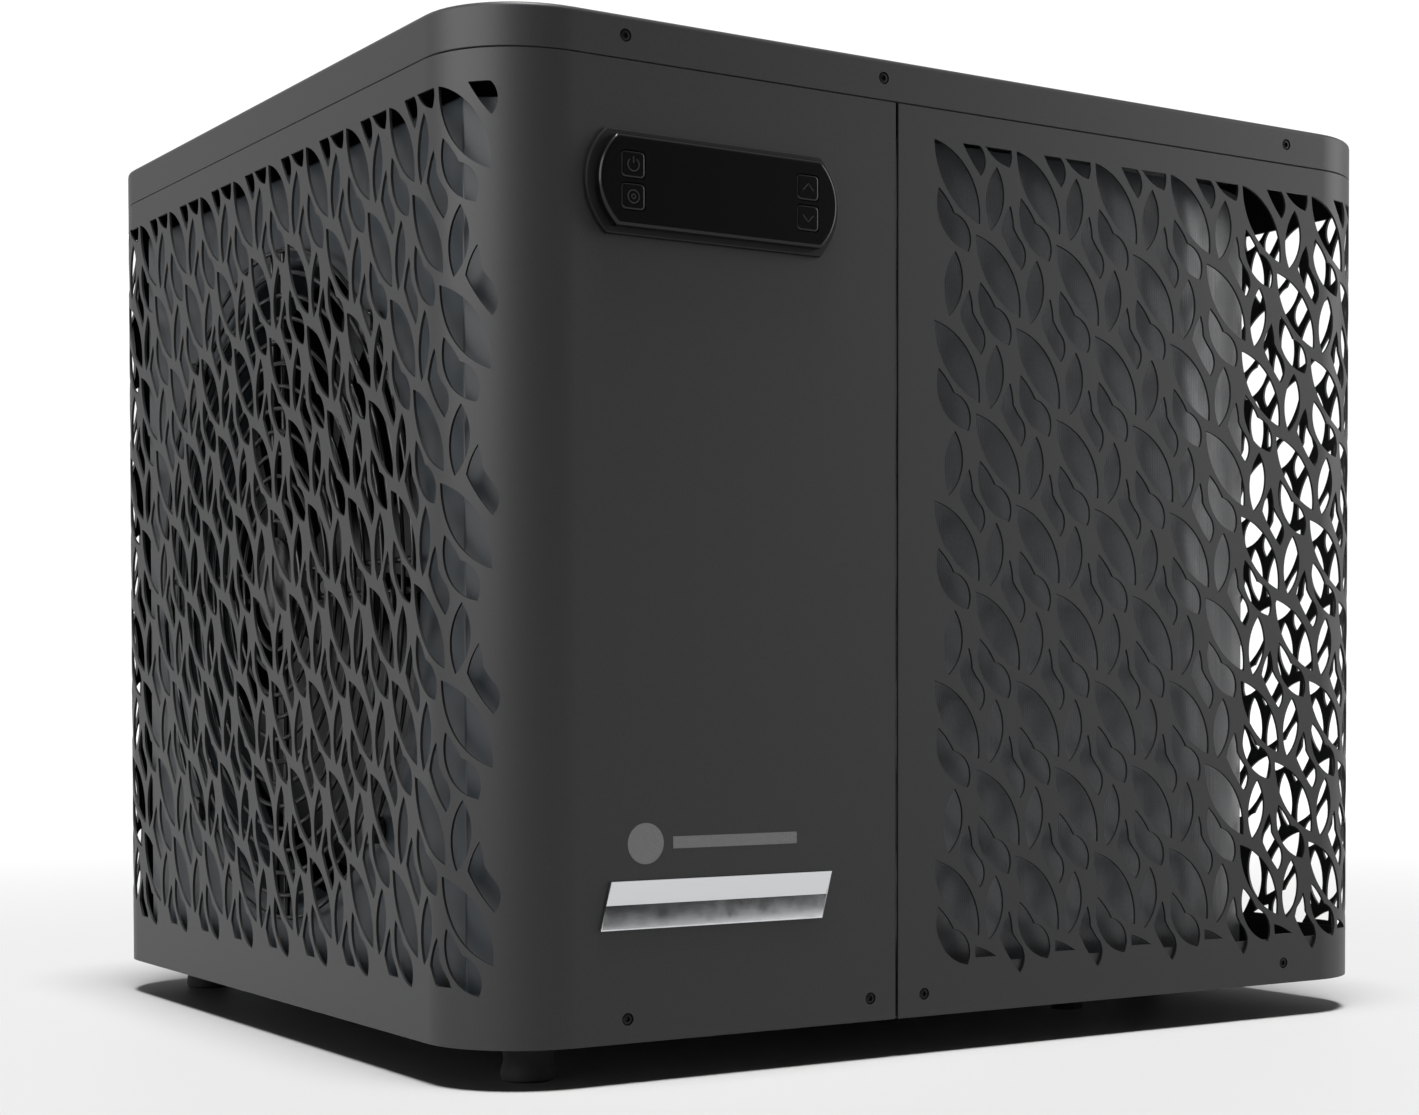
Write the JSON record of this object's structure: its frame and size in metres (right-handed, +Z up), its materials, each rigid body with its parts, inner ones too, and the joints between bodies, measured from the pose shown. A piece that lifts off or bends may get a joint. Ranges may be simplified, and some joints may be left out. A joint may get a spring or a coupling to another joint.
{
  "type": "spa heat pump",
  "caption": "Free-standing spa heat pump: a dark sheet metal cabinet with leaf perforations, a side fan behind a guard, a bent coil, a key panel and rear water unions.",
  "frame": {"origin": "middle of the whole object's box, on the ground under the feet", "axes": "+Z up; the control panel faces -Y and the water unions +Y; the fan blows out towards -X"},
  "size_m": [0.506, 0.5082, 0.437],
  "materials": {
    "powder_coat": "satin dark grey powder coat on steel sheet",
    "galvanised": "galvanised steel, dull spangle",
    "shroud_steel": "slate grey painted steel",
    "black_wire": "black plastic-coated wire",
    "black_steel": "satin black paint on steel",
    "black_zinc": "black zinc plating",
    "black_plastic": "fine-grained black plastic",
    "gloss_black": "gloss black plastic",
    "fan_plastic": "glass-filled black plastic",
    "white_plastic": "off-white plastic",
    "grey_plastic": "grey plastic",
    "rubber": "black rubber",
    "chrome_trim": "bright chrome plating",
    "steel": "zinc-plated steel",
    "coil_fins": "blue-black coated aluminium fins",
    "brass": "machined brass",
    "copper": "drawn copper, slightly dulled",
    "circuit": "green glass-fibre board with parts on it"
  },
  "bodies": {
    "cabinet": {"accumulator_pipe": "copper", "base_pan": "powder_coat", "base_screw_1": "black_zinc", "base_screw_2": "black_zinc", "base_screw_3": "black_zinc", "base_screw_4": "black_zinc", "cable_gland": "black_plastic", "circuit_board": "circuit", "compressor": "black_steel", "compressor_grommet_1": "rubber", "compressor_grommet_2": "rubber", "compressor_grommet_3": "rubber", "compressor_terminal_cover": "black_plastic", "control_board": "circuit", "control_housing": "black_plastic", "control_plate": "gloss_black", "discharge_pipe": "copper", "distributor_pipe": "copper", "drain_nozzle": "black_plastic", "electrical_box": "galvanised", "electrical_box_cover": "galvanised", "evaporator_coil": "coil_fins", "evaporator_pipe": "copper", "exchanger_pipe": "copper", "expansion_valve": "brass", "fan_guard": "black_wire", "fan_motor": "black_steel", "fan_shroud": "shroud_steel", "filter_drier": "copper", "foot_front_left": "rubber", "foot_front_right": "rubber", "foot_rear_left": "rubber", "foot_rear_right": "rubber", "four_way_valve": "brass", "heat_exchanger": "white_plastic", "left_wrap_panel": "powder_coat", "lid_screw_1": "black_zinc", "lid_screw_2": "black_zinc", "lid_screw_3": "black_zinc", "liquid_pipe": "copper", "motor_bracket": "galvanised", "nameplate": "chrome_trim", "rear_panel": "powder_coat", "right_wrap_panel": "powder_coat", "run_capacitor": "grey_plastic", "suction_accumulator": "black_steel", "suction_pipe": "copper", "terminal_block": "white_plastic", "top_lid": "powder_coat", "water_inlet_union": "grey_plastic", "water_outlet_union": "grey_plastic"},
    "fan": {"fan_impeller": "fan_plastic", "motor_shaft": "steel", "shaft_nut": "steel"},
    "key_left_lower": {"key_left_lower": "gloss_black"},
    "key_left_upper": {"key_left_upper": "gloss_black"},
    "key_right_lower": {"key_right_lower": "gloss_black"},
    "key_right_upper": {"key_right_upper": "gloss_black"},
    "union_nut_inlet": {"union_nut_inlet": "black_plastic"},
    "union_nut_outlet": {"union_nut_outlet": "black_plastic"}
  },
  "joints": [
    {"name": "fan_spin", "type": "hinge", "parent": "cabinet", "child": "fan", "pos_m": [-0.193, -0.0174, 0.211], "axis": [1, 0, 0], "continuous": true},
    {"name": "key_left_lower_press", "type": "slide", "parent": "cabinet", "child": "key_left_lower", "axis": [0, 1, 0], "range_m": [0, 0.0007], "stiffness_N_per_m": 1500, "springref_m": -0.0004},
    {"name": "key_left_upper_press", "type": "slide", "parent": "cabinet", "child": "key_left_upper", "axis": [0, 1, 0], "range_m": [0, 0.0007], "stiffness_N_per_m": 1500, "springref_m": -0.0004},
    {"name": "key_right_lower_press", "type": "slide", "parent": "cabinet", "child": "key_right_lower", "axis": [0, 1, 0], "range_m": [0, 0.0007], "stiffness_N_per_m": 1500, "springref_m": -0.0004},
    {"name": "key_right_upper_press", "type": "slide", "parent": "cabinet", "child": "key_right_upper", "axis": [0, 1, 0], "range_m": [0, 0.0007], "stiffness_N_per_m": 1500, "springref_m": -0.0004},
    {"name": "union_nut_inlet_turn", "type": "hinge", "parent": "cabinet", "child": "union_nut_inlet", "pos_m": [0.144, 0.2268, 0.092], "axis": [0, 1, 0], "continuous": true},
    {"name": "union_nut_outlet_turn", "type": "hinge", "parent": "cabinet", "child": "union_nut_outlet", "pos_m": [0.144, 0.2268, 0.262], "axis": [0, 1, 0], "continuous": true}
  ]
}
